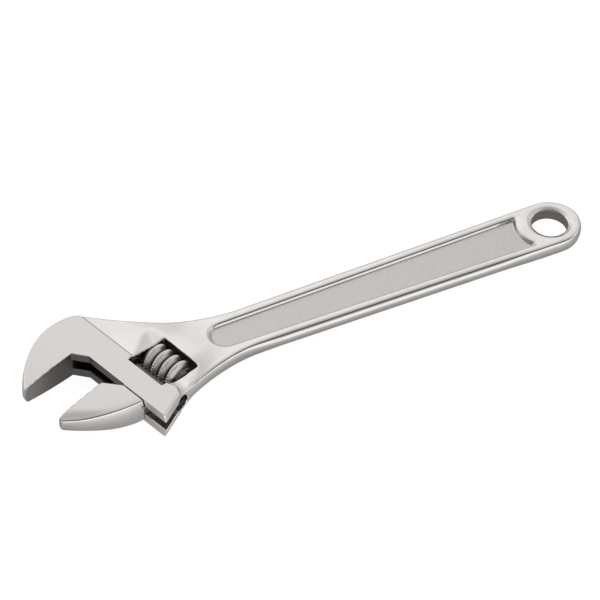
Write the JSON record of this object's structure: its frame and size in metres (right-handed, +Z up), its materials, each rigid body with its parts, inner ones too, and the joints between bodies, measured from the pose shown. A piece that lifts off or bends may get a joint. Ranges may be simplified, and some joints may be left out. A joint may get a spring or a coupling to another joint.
{
  "type": "adjustable wrench",
  "caption": "Forged adjustable wrench: a fixed jaw, a sliding jaw driven by a knurled worm, and a recessed handle with a hanging eye.",
  "frame": {"origin": "middle of the bottom of the bounding box, the wrench lying flat on its side", "axes": "+Z up through the thickness, +X along the handle towards the hanging eye, +Y towards the fixed jaw's back"},
  "size_m": [0.2514, 0.0648, 0.0146],
  "materials": {
    "satin_chrome": "satin",
    "ground_chrome": "satin",
    "turned_steel": "satin",
    "spring_steel": "satin"
  },
  "bodies": {
    "body": {"wrench_body": "satin_chrome", "worm_pin": "turned_steel", "worm_spring": "spring_steel"},
    "sliding_jaw": {"movable_jaw": "ground_chrome"},
    "worm": {"worm_knurl": "turned_steel"}
  },
  "joints": [
    {"name": "jaw_slide", "type": "slide", "parent": "body", "child": "sliding_jaw", "axis": [0.3338, -0.9426, 0], "range_m": [-0.0192, 0.0106]},
    {"name": "worm_spin", "type": "hinge", "parent": "body", "child": "worm", "pos_m": [-0.06939, -0.005, 0.0073], "axis": [0.3338, -0.9426, 0], "range_deg": [-915, 1655]}
  ],
  "couplings": [
    {"joint": "worm_spin", "follows": "jaw_slide", "rad_per_m": -1496}
  ]
}
